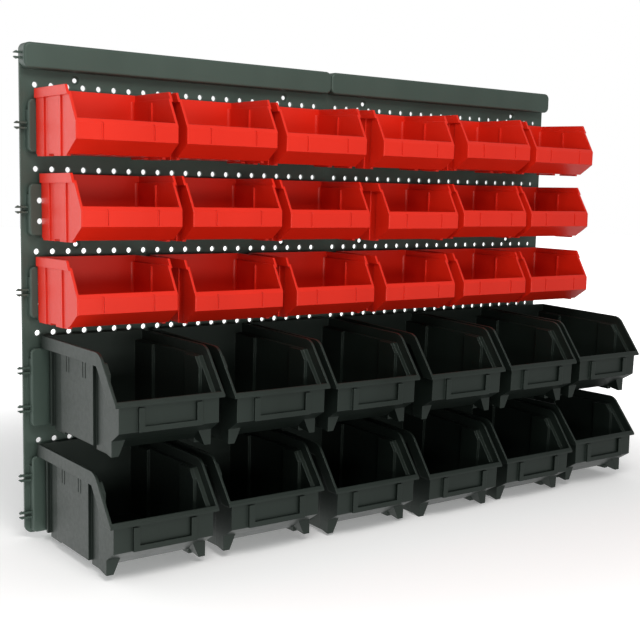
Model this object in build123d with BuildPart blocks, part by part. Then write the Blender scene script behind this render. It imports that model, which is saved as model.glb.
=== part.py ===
"""Wall rack of two perforated plastic panels carrying small and large open-fronted parts bins.

Units are millimetres. X runs along the wall, Z is up and the front of the rack faces -Y.
The origin is on the wall plane, on the joint between the two panels, half way up them.
Every distance called "out" is measured from the wall plane towards the front.
"""
import math
import os

from build123d import *

os.makedirs("parts", exist_ok=True)

# ---- the two wall panels -------------------------------------------------
hole_pitch = 14.5
holes_per_row = 21
side_margin = 13.35
panel_width = (holes_per_row - 1) * hole_pitch + 2 * side_margin
panel_height = 424.0
panel_corner = 7.0
hole_radius = 2.5
plate_out = 2.5
rail_out = 10.5
header_out = 13.5
wall = 2.2
header_height = 21.5
header_corner = 6.0
top_row_z = 178.0
small_row_pitch = 70.7
large_row_pitch = 95.2
row_z = [top_row_z - i * small_row_pitch for i in range(4)]
row_z.append(row_z[3] - large_row_pitch)
rail_inset = 4.5
rail_drop = 12.5
rail_above_next_row = 14.0
last_rail_foot = 2.0
rail_corner = 4.0
lip_thickness = 2.2
lip_groove_depth = 9.0
perforation_drops = (26.7, 44.3)
short_rails = 3
header_fillet = 2.0
rail_fillet = 1.2
screw_half_spacing = 7.5 * hole_pitch
screw_rise = 6.0
screw_radius = 2.0
screw_sink_radius = 3.8
screw_rows = (0, 2, 4)

# ---- prongs that join one panel to the next ------------------------------
prong_reach = 6.0
prong_gap = 2.2
prong_thick = 1.7
prong_deep = 3.0
prong_out = 5.5
barb = 0.5
barb_length = 2.2
prong_shares = (0.28, 0.77)
slot_side_room = 0.4
slot_end_room = 0.5

# ---- small bin -----------------------------------------------------------
small_width = 94.0
small_depth = 82.0
small_rim_above_hook = 8.5
small_height = 54.5
small_flat = 64.0
small_front_top = 30.0
small_front_foot = 43.0
small_chin_run = 17.0
small_inset = 1.5
small_strip = 8.0
small_wall = 2.2
small_flutes = ((17.0, 26.5), (51.5, 61.0))
flute_depth = 1.1
skid_drop = 1.8
skid_width = 4.5
skid_runs = ((2.0, 27.0), (38.0, 61.0))
label_half = 22.8
label_groove = 1.8
label_groove_depth = 1.0
divider_rib_at = 38.0
divider_rib_proud = 1.6
divider_rib_root = 0.8
divider_rib_width = 1.8
small_front_fillet = 1.0
small_rear_fillet = 3.0

# ---- large bin -----------------------------------------------------------
large_width = 97.0
large_depth = 147.0
large_rim_above_hook = 11.2
large_height = 78.0
large_flat = 117.0
large_front_top = 37.0
large_front_foot = 60.0
large_chin_run = 29.0
large_inset = 4.0
large_strip = 11.0
large_wall = 2.2
large_bend = 14.0
ledge_overhang = 3.0
ledge_thick = 2.0
large_flutes = ((12.0, 33.0), (97.0, 117.0))
rear_flute = 9.0
large_flute_depth = 3.0
stub_drop = 3.5
stub_width = 5.0
slit_at = (47.0, 80.0)
slit_gap = 5.0
slit_width = 1.3
slit_top = 12.5
slit_length = 13.0
slit_depth = 0.8
foot_front = 131.0
foot_run = 19.0
foot_drop = 3.0
foot_top_width = 14.0
foot_bottom_width = 6.0
frame_half = 28.5
frame_rail = 5.5
frame_proud = 2.6
frame_lip = 4.5
card_gap = 1.2
frame_below_ledge = 1.5
frame_pocket_wall = 2.0

# ---- hook on the back of every bin ---------------------------------------
hook_width = 60.0
hook_thick = 1.8
hook_drop = 6.0
hook_inside = 5.6
back_gap = 0.3
seat_gap = 0.15
small_back_on_rail = 44.0
large_back_on_rail = 68.0
above_rim = 5.0

# Centre of each bin along its rail, and how far its nose tips up in degrees. The bins are hung
# by hand on loose hooks, so neither is quite even.
small_places = [
    [(-260.5, 0.0), (-161.5, 0.0), (-61.0, -1.5), (50.5, -1.5), (160.5, 0.0), (260.5, -1.0)],
    [(-256.5, 0.8), (-155.5, 0.8), (-55.0, 0.0), (59.5, -0.8), (158.5, 0.5), (257.5, 0.5)],
    [(-260.5, 0.8), (-153.0, -0.5), (-47.0, -0.5), (58.5, -0.5), (162.0, 0.0), (261.5, 0.0)],
]
large_places = [
    [(-255.0, 0.0), (-149.0, -1.0), (-45.5, -1.5), (66.0, -2.0), (171.0, -2.0), (273.5, -1.5)],
    [(-259.5, 0.0), (-153.0, 0.5), (-43.0, -1.5), (66.5, -2.5), (171.0, -2.0), (274.5, 0.5)],
]

rail_top = [z - rail_drop for z in row_z]
rail_foot = [z + rail_above_next_row for z in row_z[1:]]
rail_foot.append(-panel_height / 2 + last_rail_foot)
header_mid = panel_height / 2 - header_height / 2


def prong_heights():
    """Heights of the prong pairs: one in the header and in each short rail, two in each tall rail."""
    heights = [header_mid]
    for index, (top, foot) in enumerate(zip(rail_top, rail_foot)):
        if index < short_rails:
            heights.append((top + foot) / 2)
        else:
            heights.extend(top - share * (top - foot) for share in prong_shares)
    return heights


def make_panel():
    """One panel, centred on X = 0, hollow at the back."""
    edge = panel_width / 2
    rail_width = panel_width - 2 * rail_inset
    with BuildPart() as panel:
        with BuildSketch(Plane.XZ):
            RectangleRounded(panel_width, panel_height, panel_corner)
        extrude(amount=plate_out)
        with BuildSketch(Plane.XZ):
            with Locations((0, header_mid)):
                RectangleRounded(panel_width, header_height, header_corner)
        extrude(amount=header_out)
        for top, foot in zip(rail_top, rail_foot):
            with BuildSketch(Plane.XZ):
                with Locations((0, (top + foot) / 2)):
                    RectangleRounded(rail_width, top - foot, rail_corner)
            extrude(amount=rail_out)
        fronts = panel.faces().filter_by(Axis.Y).group_by(Axis.Y)
        fillet(fronts[0].edges(), header_fillet)
        rail_faces = panel.faces().filter_by(Axis.Y).filter_by(lambda f: abs(f.center().Y + rail_out) < 0.01)
        fillet(rail_faces.edges(), rail_fillet)
        # Hollows behind the header and the rails.
        with BuildSketch(Plane.XZ):
            with Locations((0, header_mid)):
                RectangleRounded(panel_width - 2 * wall, header_height - 2 * wall, header_corner - wall)
        extrude(amount=header_out - wall, mode=Mode.SUBTRACT)
        for top, foot in zip(rail_top, rail_foot):
            ceiling = top - lip_groove_depth - wall
            floor = foot + wall
            with BuildSketch(Plane.XZ):
                with Locations((0, (ceiling + floor) / 2)):
                    RectangleRounded(rail_width - 2 * wall, ceiling - floor, rail_corner - wall)
            extrude(amount=rail_out - wall, mode=Mode.SUBTRACT)
        # Groove behind each rail's top edge, which leaves the lip the bins hang from.
        for top in rail_top:
            with BuildSketch(Plane.XZ.offset(plate_out)):
                with Locations((0, top - lip_groove_depth / 2 + 1)):
                    Rectangle(rail_width + 2, lip_groove_depth + 2)
            extrude(amount=rail_out - plate_out - lip_thickness, mode=Mode.SUBTRACT)
        # Round holes along every channel and through the faces of the short rails.
        with BuildSketch(Plane.XZ):
            for z in row_z:
                with Locations((0, z)):
                    with GridLocations(hole_pitch, 1, holes_per_row, 1):
                        Circle(hole_radius)
            for top in rail_top[:short_rails]:
                for drop in perforation_drops:
                    with Locations((0, top + rail_drop - drop)):
                        with GridLocations(hole_pitch, 1, holes_per_row, 1):
                            Circle(hole_radius)
        extrude(amount=header_out, mode=Mode.SUBTRACT)
        # Countersunk screw holes.
        for row in screw_rows:
            for side in (-1, 1):
                with Locations(Plane((side * screw_half_spacing, -plate_out, row_z[row] + screw_rise),
                                     x_dir=(1, 0, 0), z_dir=(0, -1, 0))):
                    CounterSinkHole(screw_radius, screw_sink_radius)
        # Barbed prongs on the left, and the slots on the right that they snap into.
        for height in prong_heights():
            in_header = height == header_mid
            root = -edge if in_header else -edge + rail_inset
            tip = -edge - prong_reach
            for side in (-1, 1):
                z = height + side * prong_gap
                barb_z = z + side * (prong_thick / 2 + barb)
                flat_z = z + side * prong_thick / 2
                inner_z = z - side * prong_thick / 2
                with BuildSketch(Plane.XZ.offset(prong_out - prong_deep / 2)):
                    with BuildLine():
                        Polyline((root + 1, inner_z), (tip, inner_z), (tip, z), (tip + barb_length, barb_z),
                                 (tip + barb_length, flat_z), (root + 1, flat_z), close=True)
                    make_face()
                extrude(amount=prong_deep)
            slot_wall = edge if in_header else edge - rail_inset
            with BuildSketch(Plane.XZ.offset(prong_out - prong_deep / 2 - slot_side_room)):
                with Locations((slot_wall - wall / 2, height)):
                    Rectangle(wall + 1, 2 * (prong_gap + prong_thick / 2 + slot_end_room))
            extrude(amount=prong_deep + 2 * slot_side_room, mode=Mode.SUBTRACT)
    return panel.part


def make_hook():
    """A strip that turns back and down behind the lip of a rail; its seat is at Z = 0."""
    with BuildPart() as hook:
        with BuildSketch(Plane.YZ):
            with BuildLine():
                Polyline((-1.0, 0), (hook_inside, 0), (hook_inside, -hook_drop),
                         (hook_inside + hook_thick, -hook_drop), (hook_inside + hook_thick, hook_thick),
                         (-1.0, hook_thick), (-1.0, 0))
            make_face()
        extrude(amount=hook_width / 2, both=True)
    return hook.part


hook_shape = make_hook()


def make_small_bin():
    """Small bin: back face on Y = 0, hook seat at Z = 0, front towards -Y."""
    rim = small_rim_above_hook
    base = rim - small_height
    half = small_width / 2
    body = half - small_inset
    inner = body - small_wall
    front = -small_depth
    front_top = rim - small_front_top
    front_foot = rim - small_front_foot
    slope = (small_depth - small_flat) / small_front_top
    strip_z = rim - small_strip
    with BuildPart() as bin_part:
        # Outside of the body and the wider rim strip round its top.
        with BuildSketch(Plane.YZ):
            with BuildLine():
                Polyline((0, base), (0, rim), (-small_flat, rim), (front, front_top), (front, front_foot),
                         (front + small_chin_run, base), close=True)
            make_face()
        extrude(amount=body, both=True)
        with BuildSketch(Plane.YZ):
            with BuildLine():
                Polyline((0, strip_z), (0, rim), (-small_flat, rim),
                         (-small_flat - slope * small_strip, strip_z), close=True)
            make_face()
        extrude(amount=half, both=True)
        # Skids under the floor.
        for start, stop in skid_runs:
            for side in (-1, 1):
                with Locations((side * (body - skid_width / 2), -(start + stop) / 2, base)):
                    Box(skid_width, stop - start, 2 * skid_drop)
        add(hook_shape)
        outside = bin_part.edges().filter_by(Axis.Z).filter_by(lambda e: e.center().Y < front + 0.1)
        fillet(outside, small_front_fillet)
        # Inside of the body, then the wider mouth within the rim strip.
        with BuildSketch(Plane.YZ):
            with BuildLine():
                Polyline((-small_wall, base + small_wall), (-small_wall, rim + above_rim),
                         (front + small_wall, rim + above_rim), (front + small_wall, front_foot + 1),
                         (front + small_chin_run + 1, base + small_wall), close=True)
            make_face()
        extrude(amount=inner, both=True, mode=Mode.SUBTRACT)
        with BuildSketch(Plane.XY.offset(strip_z + small_wall)):
            with Locations((0, (front - 2 * small_wall) / 2)):
                Rectangle(2 * (half - small_wall), small_depth)
        extrude(amount=small_strip, mode=Mode.SUBTRACT)
        # Upright flutes down the outside of both sides, a guide rib for a divider inside.
        for side in (-1, 1):
            for start, stop in small_flutes:
                with BuildSketch(Plane.XY.offset(base - skid_drop - 1)):
                    with Locations((side * body, -(start + stop) / 2)):
                        Rectangle(2 * flute_depth, stop - start)
                extrude(amount=strip_z - base + skid_drop + 1, mode=Mode.SUBTRACT)
            with BuildSketch(Plane.XY.offset(base + 1)):
                with Locations((side * (inner + (divider_rib_root - divider_rib_proud) / 2), -divider_rib_at)):
                    Rectangle(divider_rib_root + divider_rib_proud, divider_rib_width)
            extrude(amount=strip_z - base - 1)
            # Grooves that mark the label panel on the front wall.
            with BuildSketch(Plane.XZ.offset(small_depth - label_groove_depth)):
                with Locations((side * label_half, (front_top + front_foot) / 2 + 1)):
                    Rectangle(label_groove, small_front_foot - small_front_top)
            extrude(amount=2 * label_groove_depth, mode=Mode.SUBTRACT)
        rear_corners = bin_part.edges().filter_by(Axis.Z).filter_by(
            lambda e: abs(e.center().Y + small_wall) < 0.1 and abs(abs(e.center().X) - inner) < 0.1)
        fillet(rear_corners, small_rear_fillet)
    return bin_part.part


def make_large_bin():
    """Large bin: back face on Y = 0, hook seat at Z = 0, front towards -Y."""
    rim = large_rim_above_hook
    base = rim - large_height
    half = large_width / 2
    body = half - large_inset
    inner = body - large_wall
    nose = -large_depth
    front = nose + ledge_overhang
    ledge = rim - large_front_top
    front_foot = rim - large_front_foot
    run = large_depth - large_flat
    slant = (large_front_top**2 + run**2) ** 0.5

    def slope_y(inward, z):
        """Y of the line that lies the given distance inside the sloping edge, at height z."""
        return -large_flat + inward * slant / large_front_top - (rim - z) * run / large_front_top

    strip_z = rim - large_strip
    web = large_strip - large_wall
    ledge_foot = ledge - ledge_thick
    with BuildPart() as bin_part:
        # Outside of the body.
        with BuildSketch(Plane.YZ) as side:
            with BuildLine():
                Polyline((0, base), (0, rim), (-large_flat, rim), (nose, ledge), (nose, ledge_foot),
                         (front, ledge_foot), (front, front_foot), (front + large_chin_run, base), close=True)
            make_face()
            fillet(side.vertices().filter_by(lambda v: abs(v.Y - rim) < 0.1 and abs(v.X + large_flat) < 0.1),
                   large_bend)
        extrude(amount=body, both=True)
        # Wider rim strip that follows the top and the sloping front of both sides down to the ledge.
        with BuildSketch(Plane.YZ) as strip:
            with BuildLine():
                Polyline((0, strip_z), (0, rim), (-large_flat, rim), (nose, ledge), (nose, ledge_foot),
                         (slope_y(large_strip, ledge_foot), ledge_foot),
                         (slope_y(large_strip, strip_z), strip_z), close=True)
            make_face()
            fillet(strip.vertices().filter_by(lambda v: abs(v.Y - rim) < 0.1 and abs(v.X + large_flat) < 0.1),
                   large_bend)
        extrude(amount=half, both=True)
        # Corner feet at the front, seen from the front as a wedge that narrows downwards.
        foot_z = base - foot_drop
        for side_sign in (-1, 1):
            with BuildSketch(Plane.XZ.offset(foot_front - foot_run)):
                with BuildLine():
                    Polyline((side_sign * body, front_foot - 3), (side_sign * body, foot_z),
                             (side_sign * (body - foot_bottom_width), foot_z),
                             (side_sign * (body - foot_top_width), front_foot - 3), close=True)
                make_face()
            extrude(amount=foot_run)
        with BuildSketch(Plane.YZ):
            with BuildLine():
                Polyline((-foot_front + foot_run + 0.01, base), (-foot_front + 2, foot_z - 0.01),
                         (-foot_front + foot_run + 0.01, foot_z - 0.01), close=True)
            make_face()
        extrude(amount=half, both=True, mode=Mode.SUBTRACT)
        add(hook_shape)
        # Inside of the body, then the wider mouth within the rim strip.
        with BuildSketch(Plane.YZ):
            with BuildLine():
                Polyline((-large_wall, base + large_wall), (-large_wall, rim + above_rim),
                         (front + large_wall, rim + above_rim), (front + large_wall, front_foot + 1),
                         (front + large_chin_run + 1, base + large_wall), close=True)
            make_face()
        extrude(amount=inner, both=True, mode=Mode.SUBTRACT)
        with BuildSketch(Plane.YZ):
            with BuildLine():
                Polyline((-large_wall, rim - web), (-large_wall, rim + above_rim),
                         (nose + large_wall, rim + above_rim), (nose + large_wall, ledge),
                         (slope_y(web, ledge), ledge), (slope_y(web, rim - web), rim - web), close=True)
            make_face()
        extrude(amount=half - large_wall, both=True, mode=Mode.SUBTRACT)
        # Upright flutes: recessed outside, standing in by the same amount inside.
        for side_sign in (-1, 1):
            with BuildSketch(Plane.YZ.offset(side_sign * inner)):
                with BuildLine():
                    stop = -large_flutes[0][1] - large_wall
                    Polyline((-1, base + 1), (-1, rim - web - 0.5), (stop, rim - web - 0.5), (stop, base + 1),
                             close=True)
                make_face()
                with BuildLine():
                    start = -large_flutes[1][0] + large_wall
                    stop = -large_flutes[1][1] - large_wall
                    Polyline((start, base + 1), (start, rim - web - 0.5),
                             (slope_y(web + 0.5, rim - web - 0.5), rim - web - 0.5),
                             (stop, rim - (slope_y(web + 0.5, rim) - stop) * large_front_top / run),
                             (stop, base + 1), close=True)
                make_face()
            extrude(amount=-side_sign * large_flute_depth)
            for start, stop in ((0, rear_flute), *large_flutes):
                # Stub foot under the flute, then the flute itself.
                if start > 0:
                    with Locations((side_sign * (body - large_flute_depth - stub_width / 2), -(start + stop) / 2, base)):
                        Box(stub_width, stop - start, 2 * stub_drop)
                top_z = rim - (slope_y(large_strip, rim) + stop) * large_front_top / run
                with BuildSketch(Plane.YZ.offset(side_sign * (body + 0.01))):
                    with BuildLine():
                        if top_z < strip_z:
                            Polyline((-start, base - 5), (-start, strip_z),
                                     (slope_y(large_strip, strip_z), strip_z), (-stop, top_z),
                                     (-stop, base - 5), close=True)
                        else:
                            Polyline((-start, base - 5), (-start, strip_z), (-stop, strip_z),
                                     (-stop, base - 5), close=True)
                    make_face()
                extrude(amount=-side_sign * (large_flute_depth + 0.01), mode=Mode.SUBTRACT)
            # Two pairs of short slits below the rim strip.
            for at in slit_at:
                for offset in (-slit_gap / 2, slit_gap / 2):
                    with Locations((side_sign * body, -at - offset, rim - slit_top - slit_length / 2)):
                        Box(2 * slit_depth, slit_width, slit_length, mode=Mode.SUBTRACT)
        # Label frame on the front wall, open at the top, with a slot behind it for the card.
        frame_top = ledge_foot - frame_below_ledge
        with BuildSketch(Plane.XZ.offset(-front - 0.5)):
            with Locations((0, (frame_top + front_foot) / 2)):
                Rectangle(2 * frame_half, frame_top - front_foot)
            with Locations((0, (frame_top + front_foot + frame_lip) / 2 + 1)):
                Rectangle(2 * (frame_half - frame_rail), frame_top - front_foot - frame_lip + 2,
                          mode=Mode.SUBTRACT)
        extrude(amount=frame_proud + 0.5)
        with BuildSketch(Plane.XZ.offset(-front)):
            with Locations((0, (frame_top + front_foot + frame_pocket_wall) / 2 + 1)):
                Rectangle(2 * (frame_half - frame_pocket_wall), frame_top - front_foot)
        extrude(amount=card_gap, mode=Mode.SUBTRACT)
    return bin_part.part


def place_bins(master, prefix, places, first_row, back_on_rail):
    """Hang one bin at each place and write it out as its own part.

    A bin whose nose hangs down stands off the rail, so that the foot of its back only just
    misses the rail face.
    """
    for row, spots in enumerate(places):
        seat_z = rail_top[first_row + row] + seat_gap
        for column, (x, nose_up) in enumerate(spots):
            lean = max(0.0, -nose_up)
            clear = back_gap + back_on_rail * math.sin(math.radians(lean))
            copy = master.moved(Location((x, -rail_out - clear, seat_z), (-nose_up, 0, 0)))
            copy.label = f"{prefix}_{first_row + row + 1}_{column + 1}"
            export_step(copy, f"parts/{copy.label}.step")


panel_master = make_panel()
for name, side in (("panel_left", -1), ("panel_right", 1)):
    panel_copy = panel_master.moved(Location((side * panel_width / 2, 0, 0)))
    panel_copy.label = name
    export_step(panel_copy, f"parts/{name}.step")

place_bins(make_small_bin(), "small_bin", small_places, 0, small_back_on_rail)
place_bins(make_large_bin(), "large_bin", large_places, 3, large_back_on_rail)
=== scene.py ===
"""Looks of the wall rack of parts bins: camera, studio and moulded plastics with softened edges."""

import bpy
from mathutils import Matrix, Vector


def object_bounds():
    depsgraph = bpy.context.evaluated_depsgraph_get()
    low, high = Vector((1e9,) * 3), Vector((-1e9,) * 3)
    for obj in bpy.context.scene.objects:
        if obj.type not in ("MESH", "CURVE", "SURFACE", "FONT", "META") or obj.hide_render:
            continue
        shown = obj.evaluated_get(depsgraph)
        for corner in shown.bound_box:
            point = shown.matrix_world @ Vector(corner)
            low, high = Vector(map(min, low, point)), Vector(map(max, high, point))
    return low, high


MM = 0.001
WHITE = (1.0, 1.0, 1.0, 1.0)

# The camera, in the frame of the part. Its three axes are unit vectors.
CAMERA_PLACE = Vector((-665.91, -923.38, 98.41)) * MM
CAMERA_RIGHT = Vector((0.795756, -0.605128, 0.024348))
CAMERA_DOWN = Vector((-0.055888, -0.113409, -0.991975))
CAMERA_AHEAD = Vector((0.603033, 0.78801, -0.124066))
PICTURE = 640
FOCAL_PIXELS = 1103.77
SHIFT_ACROSS = -0.047
SHIFT_DOWN = 0.008
SENSOR_MM = 36.0
CLIP_NEAR = 0.01
CLIP_FAR = 50.0

# The surround as light: strengths away from and towards its bright side, and where the change lies.
BRIGHT_SIDE = (-0.65, 0.75, 0.0)
DIM_SIDE = 0.45
LIT_SIDE = 1.9
LOBE_START = 0.62
LOBE_FULL = 0.97

# The floor as the camera sees it: its glow near the rack, and the distances over which it turns white.
FLOOR_GREY = 0.9
FLOOR_ROUGHNESS = 0.9
FLOOR_REACH = 6.0
FLOOR_GLOW = 0.21
GLOW_START = 0.38
GLOW_FULL = 0.95

# The floor as light: strengths at both ends of a change along the bright side, in metres.
FLOOR_DIM = 0.6
FLOOR_BRIGHT = 1.4
FLOOR_FALL_START = -0.25
FLOOR_FALL_FULL = 0.35

# Area lights: place, target, size, watts and colour.
KEY_LIGHT = ((-0.4, -0.85, 0.8), (0.0, -0.05, 0.1), (0.6, 0.5), 8.0, (1.0, 0.99, 0.97))
FILL_LIGHT = ((-0.35, -1.3, -0.1), (0.0, 0.0, 0.05), (0.9, 0.2), 4.6, (1.0, 0.99, 0.98))

# Noise patterns of the plastics: scale, detail, roughness and stretch.
FLOW_MARKS = (14.0, 3.0, 0.55, (1.0, 1.0, 0.35))
SCUFFS = (260.0, 4.0, 0.7, (0.25, 1.0, 1.0))
GRAIN_DETAIL = 2.0
GRAIN_ROUGHNESS = 0.6
COLOUR_STOPS = (0.32, 0.72)
SCUFF_LIMITS = (0.35, 0.7)
BUMP_STRENGTH = 0.35
EDGE_SAMPLES = 6

# One plastic for each kind of piece, found by the first word of the node's name.
PLASTICS = {
    "panel": dict(name="panel_plastic", base=(0.036, 0.055, 0.045), worn=(0.046, 0.068, 0.056),
                  grain=1500.0, grain_depth=0.12 * MM, roughness=(0.44, 0.54), specular=0.5,
                  tint=(0.86, 1.0, 0.90), edge_radius=0.7 * MM),
    "small": dict(name="red_plastic", base=(0.62, 0.014, 0.004), worn=(0.68, 0.018, 0.006),
                  grain=2200.0, grain_depth=0.06 * MM, roughness=(0.34, 0.42), specular=0.36,
                  tint=(1.0, 0.9, 0.8), edge_radius=0.6 * MM),
    "large": dict(name="black_plastic", base=(0.004, 0.0065, 0.005), worn=(0.008, 0.012, 0.010),
                  grain=1700.0, grain_depth=0.1 * MM, roughness=(0.40, 0.50), specular=0.45,
                  tint=(0.85, 1.0, 0.90), edge_radius=0.8 * MM),
}


def plain_box(bounds):
    """A bounds value as plain lists of numbers."""
    return [[float(v) for v in corner] for corner in bounds]


def vector_math(tree, operation, vector, other=None):
    """The value of one operation on a vector socket."""
    node = tree.nodes.new("ShaderNodeVectorMath")
    node.operation = operation
    if other is not None:
        node.inputs[1].default_value = other
    tree.links.new(vector, node.inputs[0])
    return node.outputs["Value"]


def map_range(tree, value, start, stop, low, high, kind="SMOOTHSTEP"):
    """A value socket carried from start..stop to low..high."""
    node = tree.nodes.new("ShaderNodeMapRange")
    node.interpolation_type = kind
    node.inputs["From Min"].default_value = start
    node.inputs["From Max"].default_value = stop
    node.inputs["To Min"].default_value = low
    node.inputs["To Max"].default_value = high
    tree.links.new(value, node.inputs["Value"])
    return node.outputs["Result"]


def noise(tree, place, scale, detail, roughness, stretch=(1.0, 1.0, 1.0)):
    """The strength of a noise pattern that is fixed to the object."""
    mapping = tree.nodes.new("ShaderNodeMapping")
    mapping.inputs["Scale"].default_value = stretch
    texture = tree.nodes.new("ShaderNodeTexNoise")
    texture.inputs["Scale"].default_value = scale
    texture.inputs["Detail"].default_value = detail
    texture.inputs["Roughness"].default_value = roughness
    tree.links.new(place, mapping.inputs["Vector"])
    tree.links.new(mapping.outputs["Vector"], texture.inputs["Vector"])
    return texture.outputs["Fac"]


def make_camera():
    """The camera at the viewing angle of the reference, with a small lens shift."""
    data = bpy.data.cameras.new("camera")
    data.sensor_width = SENSOR_MM
    data.lens = FOCAL_PIXELS / PICTURE * SENSOR_MM
    data.shift_x = SHIFT_ACROSS
    data.shift_y = SHIFT_DOWN
    data.clip_start = CLIP_NEAR
    data.clip_end = CLIP_FAR
    camera = bpy.data.objects.new("camera", data)
    bpy.context.scene.collection.objects.link(camera)
    axes = Matrix((CAMERA_RIGHT, -CAMERA_DOWN, -CAMERA_AHEAD)).transposed()
    camera.matrix_world = Matrix.Translation(CAMERA_PLACE) @ axes.to_4x4()
    bpy.context.scene.camera = camera


def area_light(name, place, target, size, watts, colour):
    """A large soft light that faces a target."""
    data = bpy.data.lights.new(name, "AREA")
    data.shape = "RECTANGLE"
    data.size, data.size_y = size
    data.energy = watts
    data.color = colour
    light = bpy.data.objects.new(name, data)
    light.location = place
    light.rotation_euler = (Vector(target) - Vector(place)).to_track_quat("-Z", "Y").to_euler()
    bpy.context.scene.collection.objects.link(light)


def make_surround():
    """White to the camera. As light it is bright behind and to the left, and dim elsewhere."""
    world = bpy.data.worlds.new("studio")
    bpy.context.scene.world = world
    world.use_nodes = True
    tree = world.node_tree
    background = tree.nodes["Background"]
    background.inputs["Color"].default_value = WHITE
    place = tree.nodes.new("ShaderNodeTexCoord")
    facing = vector_math(tree, "DOT_PRODUCT", place.outputs["Generated"], Vector(BRIGHT_SIDE).normalized())
    strength = map_range(tree, facing, LOBE_START, LOBE_FULL, DIM_SIDE, LIT_SIDE)
    path = tree.nodes.new("ShaderNodeLightPath")
    shown = tree.nodes.new("ShaderNodeMath")
    shown.operation = "MAXIMUM"
    tree.links.new(strength, shown.inputs[0])
    tree.links.new(path.outputs["Is Camera Ray"], shown.inputs[1])
    tree.links.new(shown.outputs["Value"], background.inputs["Strength"])


def make_floor(lowest):
    """A plain pale floor.

    To the camera it is white, with soft shadows near the rack. As light it glows by itself, most
    behind and to the left, like the surround.
    """
    material = bpy.data.materials.new("pale_floor")
    material.use_nodes = True
    tree = material.node_tree
    shader = tree.nodes["Principled BSDF"]
    shader.inputs["Base Color"].default_value = (FLOOR_GREY, FLOOR_GREY, FLOOR_GREY, 1.0)
    shader.inputs["Roughness"].default_value = FLOOR_ROUGHNESS
    shader.inputs["Emission Color"].default_value = WHITE
    place = tree.nodes.new("ShaderNodeNewGeometry")
    away = vector_math(tree, "LENGTH", place.outputs["Position"])
    glow = map_range(tree, away, GLOW_START, GLOW_FULL, FLOOR_GLOW, 1.0)
    tree.links.new(glow, shader.inputs["Emission Strength"])
    light = tree.nodes.new("ShaderNodeEmission")
    along = vector_math(tree, "DOT_PRODUCT", place.outputs["Position"], Vector(BRIGHT_SIDE).normalized())
    strength = map_range(tree, along, FLOOR_FALL_START, FLOOR_FALL_FULL, FLOOR_DIM, FLOOR_BRIGHT)
    tree.links.new(strength, light.inputs["Strength"])
    path = tree.nodes.new("ShaderNodeLightPath")
    mix = tree.nodes.new("ShaderNodeMixShader")
    tree.links.new(path.outputs["Is Camera Ray"], mix.inputs["Fac"])
    tree.links.new(light.outputs["Emission"], mix.inputs[1])
    tree.links.new(shader.outputs["BSDF"], mix.inputs[2])
    tree.links.new(mix.outputs["Shader"], tree.nodes["Material Output"].inputs["Surface"])

    reach = FLOOR_REACH
    corners = [(-reach, -reach, lowest), (reach, -reach, lowest), (reach, reach, lowest),
               (-reach, reach, lowest)]
    mesh = bpy.data.meshes.new("floor")
    mesh.from_pydata(corners, [], [(0, 1, 2, 3)])
    mesh.materials.append(material)
    plane = bpy.data.objects.new("floor", mesh)
    bpy.context.scene.collection.objects.link(plane)


def moulded_plastic(name, base, worn, grain, grain_depth, roughness, specular, tint, edge_radius):
    """Injection-moulded plastic: flow marks, scuffs, a fine grain, and edges that shade as rounded."""
    material = bpy.data.materials.new(name)
    material.use_nodes = True
    tree = material.node_tree
    shader = tree.nodes["Principled BSDF"]
    shader.inputs["Specular IOR Level"].default_value = specular
    shader.inputs["Specular Tint"].default_value = (*tint, 1.0)
    place = tree.nodes.new("ShaderNodeTexCoord").outputs["Object"]

    colour = tree.nodes.new("ShaderNodeValToRGB")
    for stop, at, value in zip(colour.color_ramp.elements, COLOUR_STOPS, (base, worn)):
        stop.position = at
        stop.color = (*value, 1.0)
    tree.links.new(noise(tree, place, *FLOW_MARKS), colour.inputs["Fac"])
    tree.links.new(colour.outputs["Color"], shader.inputs["Base Color"])

    gloss = map_range(tree, noise(tree, place, *SCUFFS), *SCUFF_LIMITS, *roughness, kind="LINEAR")
    tree.links.new(gloss, shader.inputs["Roughness"])

    bump = tree.nodes.new("ShaderNodeBump")
    bump.inputs["Strength"].default_value = BUMP_STRENGTH
    bump.inputs["Distance"].default_value = grain_depth
    tree.links.new(noise(tree, place, grain, GRAIN_DETAIL, GRAIN_ROUGHNESS), bump.inputs["Height"])
    edge = tree.nodes.new("ShaderNodeBevel")
    edge.samples = EDGE_SAMPLES
    edge.inputs["Radius"].default_value = edge_radius
    tree.links.new(edge.outputs["Normal"], bump.inputs["Normal"])
    tree.links.new(bump.outputs["Normal"], shader.inputs["Normal"])
    return material


bpy.context.scene.view_settings.view_transform = "Standard"
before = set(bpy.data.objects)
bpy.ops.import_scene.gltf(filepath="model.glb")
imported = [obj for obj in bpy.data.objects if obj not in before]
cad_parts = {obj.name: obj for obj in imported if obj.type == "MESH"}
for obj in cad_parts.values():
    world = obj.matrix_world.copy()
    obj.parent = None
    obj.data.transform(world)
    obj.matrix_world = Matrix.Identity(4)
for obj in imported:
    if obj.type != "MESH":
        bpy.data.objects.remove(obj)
cad_box = plain_box(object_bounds())
make_camera()
make_surround()
make_floor(cad_box[0][2])
area_light("key", *KEY_LIGHT)
area_light("fill", *FILL_LIGHT)

materials = {kind: moulded_plastic(**settings) for kind, settings in PLASTICS.items()}
for name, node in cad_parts.items():
    kind = name.split("_")[0]
    node.data.materials.clear()
    node.data.materials.append(materials[kind])
